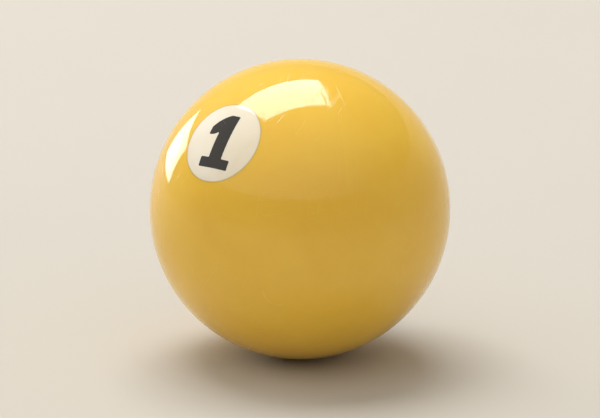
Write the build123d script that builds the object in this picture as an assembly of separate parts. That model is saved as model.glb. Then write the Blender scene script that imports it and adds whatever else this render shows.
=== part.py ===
from build123d import *

import math
import os

# A solid-coloured numbered pool ball. Row frame: millimetres, origin at the ball's centre,
# +Z up, and the front number looks towards -Y, tilted up towards +Z.

# The ball
BALL_DIAMETER = 57.15  # 2 1/4 in, the standard numbered object ball
NUMBER_ELEVATION = 37.5  # degrees that the front number looks above the horizon

# The white number disc, cast into a round pocket and ground flush with the ball
DISC_DIAMETER = 15.875  # 5/8 in, a small disc that the numeral nearly fills
DISC_DEPTH = 5.0  # from the ball's surface at the disc's middle to the pocket's flat floor

# The numeral "1", cast through the disc's face and ground flush with it
NUMERAL_HEIGHT = 10.8
NUMERAL_DEPTH = 2.5  # from the ball's surface at the disc's middle to the slot's flat floor
STEM_WIDTH = 2.9
FOOT_WIDTH = 6.6
FOOT_THICKNESS = 1.9
FLAG_REACH = 2.2  # how far the flag stands out to the left of the stem
FLAG_DROP = 2.9  # how far the flag's upper edge falls from the top of the stem to its tip
FLAG_TIP = 1.5  # height of the flag's cut end
FLAG_SWEEP = 0.3  # how far the flag's edges bow in from a straight line
CORNER_RADIUS = 0.2
OPTICAL_SHIFT = 0.3  # the numeral sits this far to the right, so that the flag doesn't unbalance it

# Worked out from the above
BALL_RADIUS = BALL_DIAMETER / 2
DISC_RADIUS = DISC_DIAMETER / 2
CLEAR_HEIGHT = BALL_RADIUS + 1.0  # the cutting tools' tops stand clear of the ball


def cast_ball():
    """The plain ball, with its poles on the number axis, which is local Z."""
    return Sphere(BALL_RADIUS)


def disc_plug():
    """The round plug that fills one pocket, standing proud of the ball, on local +Z."""
    floor = BALL_RADIUS - DISC_DEPTH
    plug = Cylinder(DISC_RADIUS, CLEAR_HEIGHT - floor, align=(Align.CENTER, Align.CENTER, Align.MIN))
    return Pos(0, 0, floor) * plug


def bowed(start, end):
    """An arc from start to end that bows to the left of that direction by FLAG_SWEEP."""
    run = Vector(*end) - Vector(*start)
    left = Vector(-run.Y, run.X).normalized() * FLAG_SWEEP
    middle = (Vector(*start) + Vector(*end)) * 0.5 + left
    return ThreePointArc(start, (middle.X, middle.Y), end)


def numeral_outline():
    """The face of the numeral: a stem with a swept flag at its top left and a slab foot."""
    right = STEM_WIDTH / 2
    top = NUMERAL_HEIGHT / 2
    foot_top = FOOT_THICKNESS - top
    half_foot = FOOT_WIDTH / 2
    tip = -right - FLAG_REACH
    tip_top = top - FLAG_DROP
    tip_bottom = tip_top - FLAG_TIP
    crown = (-right / 3, top)
    armpit = (-right, tip_bottom + FLAG_TIP / 2)
    edges = [
        Polyline(crown, (right, top), (right, foot_top), (half_foot, foot_top)),
        Polyline((half_foot, foot_top), (half_foot, -top), (-half_foot, -top)),
        Polyline((-half_foot, -top), (-half_foot, foot_top), (-right, foot_top), armpit),
        bowed(armpit, (tip, tip_bottom)),
        Line((tip, tip_bottom), (tip, tip_top)),
        bowed((tip, tip_top), crown),
    ]
    face = make_face(edges)
    return Pos(OPTICAL_SHIFT, 0) * fillet(face.vertices(), CORNER_RADIUS)


def numeral_prism():
    """The numeral as an upright prism, standing proud of the ball, on local +Z."""
    floor = BALL_RADIUS - NUMERAL_DEPTH
    return Pos(0, 0, floor) * extrude(numeral_outline(), CLEAR_HEIGHT - floor)


def number_disc():
    """One disc, with the slot that the numeral fills."""
    return (disc_plug() & cast_ball()) - numeral_prism()


def numeral():
    """One numeral, flush with the ball."""
    return numeral_prism() & cast_ball()


def ball_body():
    """The coloured ball, with a pocket at each end of the number axis."""
    return cast_ball() - disc_plug() - at_back(disc_plug())


def at_back(shape):
    """The same shape at the other end of the number axis, still upright."""
    return Rot(0, 180, 0) * shape


def in_row_frame(shape):
    """Tips the number axis from local Z to its place in the row frame."""
    return Rot(90 - NUMBER_ELEVATION, 0, 0) * shape


def write(node, shape):
    """Writes one sub-part as parts/NODE.step."""
    solid = in_row_frame(shape).solids()[0]
    export_step(solid, os.path.join("parts", node + ".step"))


os.makedirs("parts", exist_ok=True)
write("ball_body", ball_body())
write("number_disc_front", number_disc())
write("number_disc_back", at_back(number_disc()))
write("numeral_front", numeral())
write("numeral_back", at_back(numeral()))

print("ball volume", round(math.pi * BALL_DIAMETER**3 / 6), "mm3")
print("numeral's face", round(numeral_outline().area, 1), "mm2")
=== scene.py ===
import math

import bmesh
import bpy
from bpy.props import FloatProperty, FloatVectorProperty, IntProperty, PointerProperty
from bpy.types import Operator, Panel, PropertyGroup
from mathutils import Matrix, Vector


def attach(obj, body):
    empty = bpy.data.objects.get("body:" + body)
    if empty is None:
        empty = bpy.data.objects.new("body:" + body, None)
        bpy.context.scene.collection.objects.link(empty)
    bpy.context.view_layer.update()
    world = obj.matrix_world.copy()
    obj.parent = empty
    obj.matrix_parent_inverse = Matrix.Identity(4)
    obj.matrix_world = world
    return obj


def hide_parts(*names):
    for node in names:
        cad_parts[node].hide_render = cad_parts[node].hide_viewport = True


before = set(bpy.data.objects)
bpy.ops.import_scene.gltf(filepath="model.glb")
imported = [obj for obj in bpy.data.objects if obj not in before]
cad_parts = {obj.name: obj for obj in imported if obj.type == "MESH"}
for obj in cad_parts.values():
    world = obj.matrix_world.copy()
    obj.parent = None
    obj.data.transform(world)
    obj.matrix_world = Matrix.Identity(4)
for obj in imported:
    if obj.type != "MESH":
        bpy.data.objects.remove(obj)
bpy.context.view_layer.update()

bl_info = {
    "name": "Numbered Pool Ball",
    "version": (1, 0, 0),
    "blender": (4, 5, 0),
    "location": "View3D > Sidebar > Pool Ball",
    "description": "Makes a solid yellow number 1 ball of cast and polished resin, and its studio",
    "category": "Add Mesh",
}

MM = 0.001
IMAGE_WIDTH, IMAGE_HEIGHT = 600, 418
FLOOR_SEGMENTS = 128
COVE_STEPS = 24
CLIP_START = 0.01
CLIP_END = 50.0
MIX_FIRST, MIX_SECOND, MIX_RESULT = 6, 7, 2  # the colour sockets of a Mix node
ON_SPHERE = 0.001 * MM  # a corner this near the ball's surface lies on it

# The lights, in degrees and metres: turn is from the camera's own place, and rise is above the horizon.
TOP_LIGHT = {"turn": -160, "rise": 68, "distance": 2.0, "width": 1.5, "height": 1.1, "spread": 180}
SIDE_LIGHT = {"turn": -135, "rise": 10.5, "distance": 1.3, "width": 0.55, "height": 0.4, "spread": 60}
SURROUND_TURN = -50  # where the light from all round is strongest: over the camera's left shoulder
SURROUND_RISE = 30
SURROUND_REACH = 0.8  # it is full within acos(0.8) of that direction, and weakest as near the opposite


# ---------------------------------------------------------------- what the frame says

def linear(hex_colour):
    """An sRGB hex colour as linear red, green and blue."""
    channels = [int(hex_colour[i:i + 2], 16) / 255 for i in (1, 3, 5)]
    return [c / 12.92 if c <= 0.04045 else ((c + 0.055) / 1.055) ** 2.4 for c in channels]


def looks_inward(face):
    """True on an inlay's flat floor, which looks back at the ball's centre."""
    return face.normal.dot(face.center) < -0.5 * face.center.length


def inlay_floor(node):
    """An inlay's direction from the ball's centre, its floor's height that way, and its widest radius."""
    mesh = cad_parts[node].data
    floor = [face for face in mesh.polygons if looks_inward(face)]
    axis = -floor[0].normal
    corners = [mesh.vertices[i].co for face in floor for i in face.vertices]
    radius = max((corner - axis * axis.dot(corner)).length for corner in corners)
    return axis, axis.dot(floor[0].center), radius


BALL_RADIUS = max(v.co.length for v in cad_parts["ball_body"].data.vertices)
NUMBER_AXIS, DISC_FLOOR, DISC_RADIUS = inlay_floor("number_disc_front")
NUMERAL_FLOOR = inlay_floor("numeral_front")[1]
RIM_ANGLE = math.asin(DISC_RADIUS / BALL_RADIUS)  # from the number axis to the disc's edge


def number_space():
    """The turn to the row frame from working space, where the number looks along +Z, upright along +Y."""
    right = Vector((1.0, 0.0, 0.0))
    return Matrix((right, NUMBER_AXIS.cross(right), NUMBER_AXIS)).transposed().to_4x4()


TO_ROW = {
    "front": number_space(),
    "back": number_space() @ Matrix.Rotation(math.pi, 4, "Y"),
}


def numeral_outline():
    """The numeral's corners in order, in working space, from the edge of its flat floor."""
    mesh = bmesh.new()
    mesh.from_mesh(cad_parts["numeral_front"].data)
    mesh.transform(TO_ROW["front"].inverted())
    bmesh.ops.remove_doubles(mesh, verts=mesh.verts, dist=ON_SPHERE)
    mesh.normal_update()
    floor = {face for face in mesh.faces if face.normal.z < -0.99}
    edge_of_floor = [e for e in mesh.edges if len(floor.intersection(e.link_faces)) == 1]
    corner = edge_of_floor[0].verts[0]
    last = None
    outline = []
    while len(outline) < len(edge_of_floor):
        outline.append((corner.co.x, corner.co.y))
        last = next(e for e in corner.link_edges if e in edge_of_floor and e is not last)
        corner = last.other_vert(corner)
    mesh.free()
    return outline


# ---------------------------------------------------------------- settings

class BallSettings(PropertyGroup):
    """How finely the ball is meshed."""

    around: IntProperty(
        name="Segments Around", description="Segments round the number axis", default=256, min=32)
    along: IntProperty(
        name="Rings", description="Rings from one number disc to the other", default=160, min=16)
    inlay_step: FloatProperty(
        name="Inlay Step", description="Mesh size on the discs and numerals",
        default=0.5 * MM, unit="LENGTH", precision=5)


class ResinSettings(PropertyGroup):
    """The resins' colours and finish."""

    yellow: FloatVectorProperty(
        name="Yellow", description="Pigment of the ball's body", subtype="COLOR",
        default=linear("#F0C440"))
    yellow_deep: FloatVectorProperty(
        name="Deep Yellow", description="Where the pigment settled thicker in the pour", subtype="COLOR",
        default=linear("#ECBD38"))
    white: FloatVectorProperty(
        name="White", description="Pigment of the number discs", subtype="COLOR",
        default=linear("#F1EADB"))
    white_deep: FloatVectorProperty(
        name="Aged White", description="Where the white resin has yellowed", subtype="COLOR",
        default=linear("#EADFC6"))
    black: FloatVectorProperty(
        name="Black", description="Pigment of the numerals", subtype="COLOR",
        default=linear("#17130F"))
    black_deep: FloatVectorProperty(
        name="Worn Black", description="Where the numeral's polish has greyed", subtype="COLOR",
        default=linear("#231D17"))
    joint: FloatVectorProperty(
        name="Joint", description="Shade of the hair-thin line where two resins meet", subtype="COLOR",
        default=linear("#8A5A1C"))
    scratch_spacing: FloatProperty(
        name="Scratch Spacing", description="Mean distance between hairlines that run one way",
        default=1.9 * MM, unit="LENGTH", precision=5)
    scratch_width: FloatProperty(
        name="Scratch Width", description="Width of a hairline", default=0.16 * MM, unit="LENGTH",
        precision=5)
    pit_spacing: FloatProperty(
        name="Pit Spacing", description="Distance between places that may hold a tiny pit from a knock",
        default=7 * MM, unit="LENGTH", precision=5)
    pit_width: FloatProperty(
        name="Pit Width", description="Width of the widest pits", default=0.5 * MM, unit="LENGTH",
        precision=5)


class StudioSettings(PropertyGroup):
    """The camera, the lights and the floor."""

    azimuth: FloatProperty(
        name="Azimuth", description="Camera's turn about the ball, from -Y towards +X",
        subtype="ANGLE", default=math.radians(40.0))
    elevation: FloatProperty(
        name="Elevation", description="Camera's height above the horizon, from the ball",
        subtype="ANGLE", default=math.radians(14.3))
    lens: FloatProperty(
        name="Lens", description="Focal length in millimetres", default=180.0, min=20.0)
    fill: FloatProperty(
        name="Fill", description="Share of the picture's height that the ball takes",
        default=0.72, subtype="FACTOR", min=0.1, max=0.95)
    floor: FloatVectorProperty(
        name="Floor", description="Colour of the paper floor", subtype="COLOR",
        default=linear("#C3BEB5"))
    flat_radius: FloatProperty(
        name="Flat Radius", description="How far round the ball the paper lies flat",
        default=1.2, unit="LENGTH")
    cove_radius: FloatProperty(
        name="Cove Radius", description="Radius of the curve that takes the paper up into a low wall",
        default=0.8, unit="LENGTH")
    sky: FloatVectorProperty(
        name="Surround", description="Colour of the light from all round", subtype="COLOR",
        default=linear("#EBE7E0"))
    sky_near: FloatProperty(
        name="Surround Near", description="Strength of the surround where it is strongest",
        default=1.05)
    sky_far: FloatProperty(
        name="Surround Far", description="Its strength on the opposite side", default=0.25)
    top_power: FloatProperty(
        name="Top Light", description="Power of the wide light above and beyond the ball",
        default=34.0, unit="POWER")
    side_power: FloatProperty(
        name="Side Light", description="Power of the small light beyond the ball, at the left",
        default=0.45, unit="POWER")


# ---------------------------------------------------------------- meshes

def circle(radius, count):
    """Corners of a circle about the origin."""
    turns = [2 * math.pi * i / count for i in range(count)]
    return [(radius * math.cos(t), radius * math.sin(t)) for t in turns]


def turned(mesh, profile, around):
    """Turns a profile of (radius, height) pairs about Z, and gives its rings of corners."""
    rings = [
        [mesh.verts.new((x, y, height)) for x, y in circle(radius, around)]
        for radius, height in profile]
    for upper, lower in zip(rings, rings[1:]):
        for i in range(around):
            mesh.faces.new((upper[i - 1], upper[i], lower[i], lower[i - 1]))
    return rings


def body_mesh(mesh, around, along):
    """The ball with a pocket at each end of Z: one turned profile and two flat floors."""
    sweep = math.pi - 2 * RIM_ANGLE
    angles = [RIM_ANGLE + sweep * i / along for i in range(along + 1)]
    skin = [(BALL_RADIUS * math.sin(a), BALL_RADIUS * math.cos(a)) for a in angles]
    profile = [(DISC_RADIUS, DISC_FLOOR), *skin, (DISC_RADIUS, -DISC_FLOOR)]
    rings = turned(mesh, profile, around)
    mesh.faces.new(rings[0])
    mesh.faces.new(rings[-1])


def plug_mesh(mesh, outlines, floor_at, step):
    """A closed plug, flush with the ball, with the first outline as its rim and any other as a slot.

    floor_at gives how deep an edge goes at x, y.
    """
    edges = []
    for outline in outlines:
        corners = [mesh.verts.new((x, y, 0.0)) for x, y in outline]
        edges += [mesh.edges.new(pair) for pair in zip(corners, corners[1:] + corners[:1])]
    bmesh.ops.triangle_fill(mesh, use_beauty=True, edges=edges, normal=(0, 0, 1))
    reach = max(math.hypot(x, y) for x, y in outlines[0])
    lines = math.ceil(reach / step)
    for across in (Vector((1, 0, 0)), Vector((0, 1, 0))):
        for line in range(-lines, lines + 1):
            everything = mesh.verts[:] + mesh.edges[:] + mesh.faces[:]
            bmesh.ops.bisect_plane(
                mesh, geom=everything, dist=ON_SPHERE, plane_co=across * line * step, plane_no=across)
    for corner in mesh.verts:
        corner.co.z = math.sqrt(BALL_RADIUS**2 - corner.co.x**2 - corner.co.y**2)
    rims = [edge for edge in mesh.edges if edge.is_boundary]
    sunk = bmesh.ops.extrude_edge_only(mesh, edges=rims)["geom"]
    for corner in sunk:
        if isinstance(corner, bmesh.types.BMVert):
            corner.co.z = floor_at(corner.co.x, corner.co.y)
    open_edges = [edge for edge in mesh.edges if edge.is_boundary]
    bmesh.ops.holes_fill(mesh, edges=open_edges, sides=0)


def disc_floor_at(x, y):
    """How deep a disc's edges go: the rim to the pocket's floor, and the slot to the numeral's."""
    return DISC_FLOOR if math.hypot(x, y) > 0.99 * DISC_RADIUS else NUMERAL_FLOOR


def numeral_floor_at(x, y):
    """How deep a numeral's edge goes: the same all round."""
    return NUMERAL_FLOOR


def smooth_skin(data):
    """Gives the skin the ball's own normals, so that reflections run unbroken over the joints.

    The rest stays flat.
    """
    normals = [None] * len(data.loops)
    for face in data.polygons:
        corners = [data.vertices[i].co for i in face.vertices]
        on_skin = all(abs(corner.length - BALL_RADIUS) < ON_SPHERE for corner in corners)
        for loop, corner in zip(face.loop_indices, corners):
            normals[loop] = corner.normalized() if on_skin else face.normal.copy()
    data.shade_smooth()
    data.normals_split_custom_set(normals)


def add_piece(name, shape, end, material, node):
    """Makes the piece in the row frame, and sets it on the ball's one body in place of its CAD node."""
    bmesh.ops.recalc_face_normals(shape, faces=shape.faces)
    shape.transform(TO_ROW[end])
    data = bpy.data.meshes.new(name)
    shape.to_mesh(data)
    shape.free()
    smooth_skin(data)
    data.materials.append(material)
    piece = bpy.data.objects.new(name, data)
    bpy.context.scene.collection.objects.link(piece)
    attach(piece, "root")
    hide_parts(node)


# ---------------------------------------------------------------- materials

def add(tree, kind, inputs=(), **settings):
    """Adds a node, sets its settings, and gives each named input a plain value or a link from a socket."""
    node = tree.nodes.new(kind)
    for name, value in settings.items():
        setattr(node, name, value)
    for name, value in dict(inputs).items():
        if isinstance(value, bpy.types.NodeSocket):
            tree.links.new(value, node.inputs[name])
        else:
            node.inputs[name].default_value = value
    return node


def new_material(name):
    """An empty node material and its tree."""
    material = bpy.data.materials.new(name)
    material.use_nodes = True
    material.node_tree.nodes.clear()
    return material, material.node_tree


def per_metre(size):
    """A pattern's scale, for features of that size."""
    return 1.0 / size


def opaque(colour):
    """A linear colour with full alpha, for a colour socket."""
    return (*colour, 1.0)


# Resin: where its marks lie, and how strongly they show
CLOUD_SIZE = 16 * MM  # of the drifts of thicker pigment from the pour
FILM_SIZE = 11 * MM  # of the patches that handling has dulled
JOINT_WIDTH = 0.2 * MM  # each way from the joint's circle
JOINT_SHADE = 0.35  # share of the joint's own colour at its middle
WEAR_ROUGHNESS = 0.25  # what a scratch or pit adds to the polish's roughness
WEAR_DEPTH = 0.012 * MM  # of a scratch or a pit
PHENOLIC_IOR = 1.6
ARC_LENGTH = 7 * MM  # size of the patches in which a family of arcs shows
ARC_SEED_STEP = 5.3  # sets apart the places where each family of arcs breaks off

# Paper: how far apart its marks lie
TONE_SIZE = 90 * MM
TOOTH_SIZE = 0.6 * MM
TONE_DROP = 0.97  # brightness of its darker patches

# The ways that hairlines run: each is the axis of a family of arcs round the ball.
HAIRLINE_AXES = [
    (0.8, 0.3, 0.5),
    (-0.5, 0.8, 0.3),
    (0.2, -0.6, 0.8),
    (-0.7, -0.4, 0.6),
    (0.4, 0.9, -0.2),
]


def hairlines(tree, place, spacing, width):
    """Fine scratches from rolling over chalk and grit: short arcs, unevenly spaced, that run five ways."""
    total = None
    for turn, axis in enumerate(HAIRLINE_AXES):
        along = add(
            tree, "ShaderNodeVectorMath", {0: place, 1: Vector(axis).normalized()},
            operation="DOT_PRODUCT")
        lines = add(
            tree, "ShaderNodeTexVoronoi", {"W": along.outputs["Value"], "Scale": per_metre(spacing)},
            voronoi_dimensions="1D", feature="F1")
        line = add(tree, "ShaderNodeMapRange", {
            "Value": lines.outputs["Distance"], "From Min": 0.0, "From Max": width / spacing / 2,
            "To Min": 1.0, "To Max": 0.0}, interpolation_type="SMOOTHSTEP")
        # Each arc shows over a few millimetres of its length.
        breaks = add(tree, "ShaderNodeTexNoise", {
            "Vector": place, "W": ARC_SEED_STEP * turn, "Scale": per_metre(ARC_LENGTH), "Detail": 1.0},
            noise_dimensions="4D")
        shown = add(tree, "ShaderNodeMapRange", {
            "Value": breaks.outputs["Fac"], "From Min": 0.55, "From Max": 0.63})
        arc = add(
            tree, "ShaderNodeMath", {0: line.outputs["Result"], 1: shown.outputs["Result"]},
            operation="MULTIPLY")
        if total is None:
            total = arc
        else:
            total = add(
                tree, "ShaderNodeMath", {0: total.outputs[0], 1: arc.outputs[0]}, operation="MAXIMUM")
    return total.outputs[0]


def pits(tree, place, spacing, width):
    """Tiny round pits from knocks: a place holds one only where it meets the ball's skin."""
    cells = add(
        tree, "ShaderNodeTexVoronoi", {"Vector": place, "Scale": per_metre(spacing)}, feature="F1")
    reach = width / 2 / spacing
    pit = add(tree, "ShaderNodeMapRange", {
        "Value": cells.outputs["Distance"], "From Min": 0.6 * reach, "From Max": reach,
        "To Min": 1.0, "To Max": 0.0})
    return pit.outputs["Result"]


def joint_line(tree, place, radius, width):
    """How much of a hair-thin shade lies along a circle about the number axis, where two resins meet."""
    away = add(tree, "ShaderNodeVectorMath", {0: place, 1: NUMBER_AXIS}, operation="CROSS_PRODUCT")
    distance = add(tree, "ShaderNodeVectorMath", {0: away.outputs["Vector"]}, operation="LENGTH")
    offset = add(tree, "ShaderNodeMath", {0: distance.outputs["Value"], 1: radius}, operation="SUBTRACT")
    gap = add(tree, "ShaderNodeMath", {0: offset.outputs[0]}, operation="ABSOLUTE")
    shade = add(tree, "ShaderNodeMapRange", {
        "Value": gap.outputs[0], "From Min": 0.0, "From Max": width,
        "To Min": JOINT_SHADE, "To Max": 0.0})
    return shade.outputs["Result"]


def polished_phenolic(name, colour, deep_colour, translucency=0.0, glow=(1.0, 1.0, 1.0)):
    """Phenolic resin, cast, ground round and polished.

    The pigment is even, with faint clouds from the pour. The gloss is deep, under hairlines, a few
    pits and a thin film from handling. glow is how far red, green and blue light spread under the
    skin, in millimetres.
    """
    look = bpy.context.scene.resin
    material, tree = new_material(name)
    place = add(tree, "ShaderNodeTexCoord").outputs["Object"]

    clouds = add(tree, "ShaderNodeTexNoise", {
        "Vector": place, "Scale": per_metre(CLOUD_SIZE), "Detail": 3.0, "Roughness": 0.55,
        "Distortion": 0.4})
    drift = add(tree, "ShaderNodeMapRange", {
        "Value": clouds.outputs["Fac"], "From Min": 0.35, "From Max": 0.7})
    pigment = add(tree, "ShaderNodeMix", {
        "Factor": drift.outputs["Result"], MIX_FIRST: opaque(colour), MIX_SECOND: opaque(deep_colour)},
        data_type="RGBA")
    edged = add(tree, "ShaderNodeMix", {
        "Factor": joint_line(tree, place, DISC_RADIUS, JOINT_WIDTH),
        MIX_FIRST: pigment.outputs[MIX_RESULT], MIX_SECOND: opaque(look.joint)}, data_type="RGBA")

    # A polished ball is near mirror smooth, and a thin film from hands and cloth dulls it in patches.
    film = add(tree, "ShaderNodeTexNoise", {
        "Vector": place, "Scale": per_metre(FILM_SIZE), "Detail": 5.0, "Roughness": 0.6,
        "Distortion": 0.8})
    dulled = add(tree, "ShaderNodeMapRange", {
        "Value": film.outputs["Fac"], "From Min": 0.4, "From Max": 0.72, "To Min": 0.05, "To Max": 0.1})
    # Real hairlines are about 0.03 mm wide, too fine to show here, so they are drawn about five times
    # as wide. Pits are drawn about twice their real width.
    scratches = hairlines(tree, place, look.scratch_spacing, look.scratch_width)
    knocks = pits(tree, place, look.pit_spacing, look.pit_width)
    wear = add(tree, "ShaderNodeMath", {0: scratches, 1: knocks}, operation="MAXIMUM")
    rough = add(
        tree, "ShaderNodeMath", {0: wear.outputs[0], 1: WEAR_ROUGHNESS, 2: dulled.outputs["Result"]},
        operation="MULTIPLY_ADD")
    relief = add(tree, "ShaderNodeBump", {
        "Height": wear.outputs[0], "Strength": 0.9, "Distance": WEAR_DEPTH}, invert=True)

    shader = add(tree, "ShaderNodeBsdfPrincipled", {
        "Base Color": edged.outputs[MIX_RESULT], "Roughness": rough.outputs[0],
        "Normal": relief.outputs["Normal"], "IOR": PHENOLIC_IOR, "Subsurface Weight": translucency,
        "Subsurface Radius": glow, "Subsurface Scale": MM})
    add(tree, "ShaderNodeOutputMaterial", {"Surface": shader.outputs["BSDF"]})
    return material


def yellow_phenolic():
    """The body's resin: warm golden yellow, a little translucent at the skin."""
    look = bpy.context.scene.resin
    return polished_phenolic("cast_phenolic_yellow", look.yellow, look.yellow_deep, 0.3, (1.2, 0.8, 0.3))


def white_phenolic():
    """The discs' resin: ivory white, a little yellowed by age."""
    look = bpy.context.scene.resin
    return polished_phenolic("cast_phenolic_white", look.white, look.white_deep, 0.25, (0.9, 0.8, 0.6))


def black_phenolic():
    """The numerals' resin: soot black, which only its gloss lightens."""
    look = bpy.context.scene.resin
    return polished_phenolic("cast_phenolic_black", look.black, look.black_deep)


def seamless_paper():
    """Matt paper off a roll, with a faint uneven tone and a fine tooth."""
    studio = bpy.context.scene.studio
    material, tree = new_material("seamless_paper")
    place = add(tree, "ShaderNodeTexCoord").outputs["Object"]
    tone = add(tree, "ShaderNodeTexNoise", {"Vector": place, "Scale": per_metre(TONE_SIZE), "Detail": 3.0})
    uneven = [TONE_DROP * channel for channel in studio.floor]
    shade = add(tree, "ShaderNodeMix", {
        "Factor": tone.outputs["Fac"], MIX_FIRST: opaque(studio.floor), MIX_SECOND: opaque(uneven)},
        data_type="RGBA")
    # Real paper's tooth is about 0.2 mm, too fine to show here, so it is drawn three times as coarse.
    tooth = add(tree, "ShaderNodeTexNoise", {
        "Vector": place, "Scale": per_metre(TOOTH_SIZE), "Detail": 2.0})
    relief = add(tree, "ShaderNodeBump", {
        "Height": tooth.outputs["Fac"], "Strength": 0.2, "Distance": 0.05 * MM})
    shader = add(tree, "ShaderNodeBsdfPrincipled", {
        "Base Color": shade.outputs[MIX_RESULT], "Roughness": 0.85, "Specular IOR Level": 0.15,
        "Normal": relief.outputs["Normal"]})
    add(tree, "ShaderNodeOutputMaterial", {"Surface": shader.outputs["BSDF"]})
    return material


# ---------------------------------------------------------------- studio

def ray(azimuth, elevation):
    """The direction from the ball to a place round it: azimuth 0 is -Y, and it turns towards +X."""
    level = math.cos(elevation)
    return Vector((math.sin(azimuth) * level, -math.cos(azimuth) * level, math.sin(elevation)))


def aim(thing, place):
    """Puts a light or camera at a place, looking at the ball, with its own X level."""
    thing.location = place
    thing.rotation_euler = (-Vector(place)).to_track_quat("-Z", "Y").to_euler()


def softbox(name, box, power):
    """A plain rectangular light, aimed at the ball, that stays out of the picture itself."""
    light = bpy.data.lights.new(name, "AREA")
    light.shape = "RECTANGLE"
    light.size = box["width"]
    light.size_y = box["height"]
    light.spread = math.radians(box["spread"])
    light.energy = power
    lamp = bpy.data.objects.new(name, light)
    bpy.context.scene.collection.objects.link(lamp)
    lamp.visible_camera = False
    turn = bpy.context.scene.studio.azimuth + math.radians(box["turn"])
    aim(lamp, ray(turn, math.radians(box["rise"])) * box["distance"])


def add_camera():
    """The camera, as far off as makes the ball fill its share of the picture."""
    studio = bpy.context.scene.studio
    data = bpy.data.cameras.new("camera")
    data.lens = studio.lens
    camera = bpy.data.objects.new("camera", data)
    bpy.context.scene.collection.objects.link(camera)
    half_height = data.sensor_width / 2 / data.lens * IMAGE_HEIGHT / IMAGE_WIDTH
    distance = BALL_RADIUS * math.hypot(1.0, 1.0 / (studio.fill * half_height))
    aim(camera, ray(studio.azimuth, studio.elevation) * distance)
    data.clip_start = CLIP_START
    data.clip_end = CLIP_END
    bpy.context.scene.camera = camera


def add_floor():
    """The paper that the ball rests on: flat, then swept up into a low wall all round."""
    studio = bpy.context.scene.studio
    angles = [math.pi / 2 * i / COVE_STEPS for i in range(COVE_STEPS, -1, -1)]
    cove = [
        (studio.flat_radius + studio.cove_radius * math.sin(a), studio.cove_radius * (1 - math.cos(a)))
        for a in angles]
    # One more ring inside the cove keeps its smooth shading off the flat paper.
    flat_edge = (0.9 * studio.flat_radius, 0.0)
    shape = bmesh.new()
    rings = turned(shape, [*cove, flat_edge], FLOOR_SEGMENTS)
    shape.faces.new(rings[-1])
    bmesh.ops.translate(shape, verts=shape.verts, vec=(0.0, 0.0, -BALL_RADIUS))
    data = bpy.data.meshes.new("floor")
    shape.to_mesh(data)
    shape.free()
    data.shade_smooth()
    data.materials.append(seamless_paper())
    floor = bpy.data.objects.new("floor", data)
    bpy.context.scene.collection.objects.link(floor)


def add_surround():
    """Soft light from all round, strongest from over the camera's left shoulder."""
    studio = bpy.context.scene.studio
    world = bpy.data.worlds.new("surround")
    world.use_nodes = True
    tree = world.node_tree
    tree.nodes.clear()
    direction = add(tree, "ShaderNodeTexCoord").outputs["Generated"]
    strongest = ray(studio.azimuth + math.radians(SURROUND_TURN), math.radians(SURROUND_RISE))
    nearness = add(tree, "ShaderNodeVectorMath", {0: direction, 1: strongest}, operation="DOT_PRODUCT")
    strength = add(tree, "ShaderNodeMapRange", {
        "Value": nearness.outputs["Value"], "From Min": -SURROUND_REACH, "From Max": SURROUND_REACH,
        "To Min": studio.sky_far, "To Max": studio.sky_near}, interpolation_type="SMOOTHSTEP")
    soft = add(tree, "ShaderNodeBackground", {
        "Color": opaque(studio.sky), "Strength": strength.outputs["Result"]})
    add(tree, "ShaderNodeOutputWorld", {"Surface": soft.outputs["Background"]})
    bpy.context.scene.world = world


# ---------------------------------------------------------------- operators

class POOLBALL_OT_body(Operator):
    """Cast the ball's yellow body with its two pockets"""

    bl_idname = "pool_ball.body"
    bl_label = "Ball Body"

    def execute(self, context):
        ball = context.scene.ball
        shape = bmesh.new()
        body_mesh(shape, ball.around, ball.along)
        add_piece("body", shape, "front", yellow_phenolic(), "ball_body")
        return {"FINISHED"}


class POOLBALL_OT_number_discs(Operator):
    """Fill both pockets with their white discs, each with a slot for its numeral"""

    bl_idname = "pool_ball.number_discs"
    bl_label = "Number Discs"

    def execute(self, context):
        ball = context.scene.ball
        outlines = [circle(DISC_RADIUS, ball.around), numeral_outline()]
        material = white_phenolic()
        for end in TO_ROW:
            shape = bmesh.new()
            plug_mesh(shape, outlines, disc_floor_at, ball.inlay_step)
            add_piece("disc_" + end, shape, end, material, "number_disc_" + end)
        return {"FINISHED"}


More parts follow.
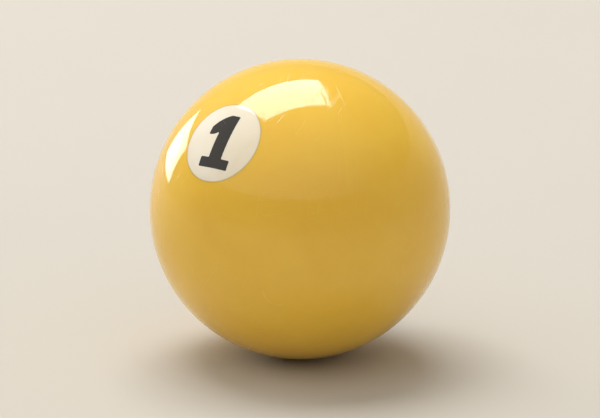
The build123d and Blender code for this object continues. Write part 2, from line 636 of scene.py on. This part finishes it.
class POOLBALL_OT_numerals(Operator):
    """Fill the slot in each disc with its black numeral"""

    bl_idname = "pool_ball.numerals"
    bl_label = "Numerals"

    def execute(self, context):
        ball = context.scene.ball
        outline = numeral_outline()
        material = black_phenolic()
        for end in TO_ROW:
            shape = bmesh.new()
            plug_mesh(shape, [outline], numeral_floor_at, ball.inlay_step)
            add_piece("one_" + end, shape, end, material, "numeral_" + end)
        return {"FINISHED"}


class POOLBALL_OT_studio(Operator):
    """Set up the floor, the lights and the camera"""

    bl_idname = "pool_ball.studio"
    bl_label = "Studio"

    def execute(self, context):
        studio = context.scene.studio
        add_camera()
        add_floor()
        add_surround()
        softbox("top_light", TOP_LIGHT, studio.top_power)
        softbox("side_light", SIDE_LIGHT, studio.side_power)
        context.scene.view_settings.view_transform = "Standard"
        return {"FINISHED"}


class POOLBALL_PT_sidebar(Panel):
    """Lists the pieces and their settings"""

    bl_idname = "POOLBALL_PT_sidebar"
    bl_label = "Pool Ball"
    bl_space_type = "VIEW_3D"
    bl_region_type = "UI"
    bl_category = "Pool Ball"

    def draw(self, context):
        for group in (context.scene.ball, context.scene.resin, context.scene.studio):
            box = self.layout.box()
            for name in group.__annotations__:
                box.prop(group, name)
        for operator in OPERATORS:
            self.layout.operator(operator.bl_idname)


OPERATORS = (POOLBALL_OT_body, POOLBALL_OT_number_discs, POOLBALL_OT_numerals, POOLBALL_OT_studio)
CLASSES = (BallSettings, ResinSettings, StudioSettings, *OPERATORS, POOLBALL_PT_sidebar)


def register():
    for each in CLASSES:
        bpy.utils.register_class(each)
    bpy.types.Scene.ball = PointerProperty(type=BallSettings)
    bpy.types.Scene.resin = PointerProperty(type=ResinSettings)
    bpy.types.Scene.studio = PointerProperty(type=StudioSettings)


def unregister():
    del bpy.types.Scene.studio, bpy.types.Scene.resin, bpy.types.Scene.ball
    for each in reversed(CLASSES):
        bpy.utils.unregister_class(each)


def main():
    """Makes the whole ball and its studio."""
    register()
    bpy.ops.pool_ball.body()
    bpy.ops.pool_ball.number_discs()
    bpy.ops.pool_ball.numerals()
    bpy.ops.pool_ball.studio()


if __name__ == "__main__":
    main()
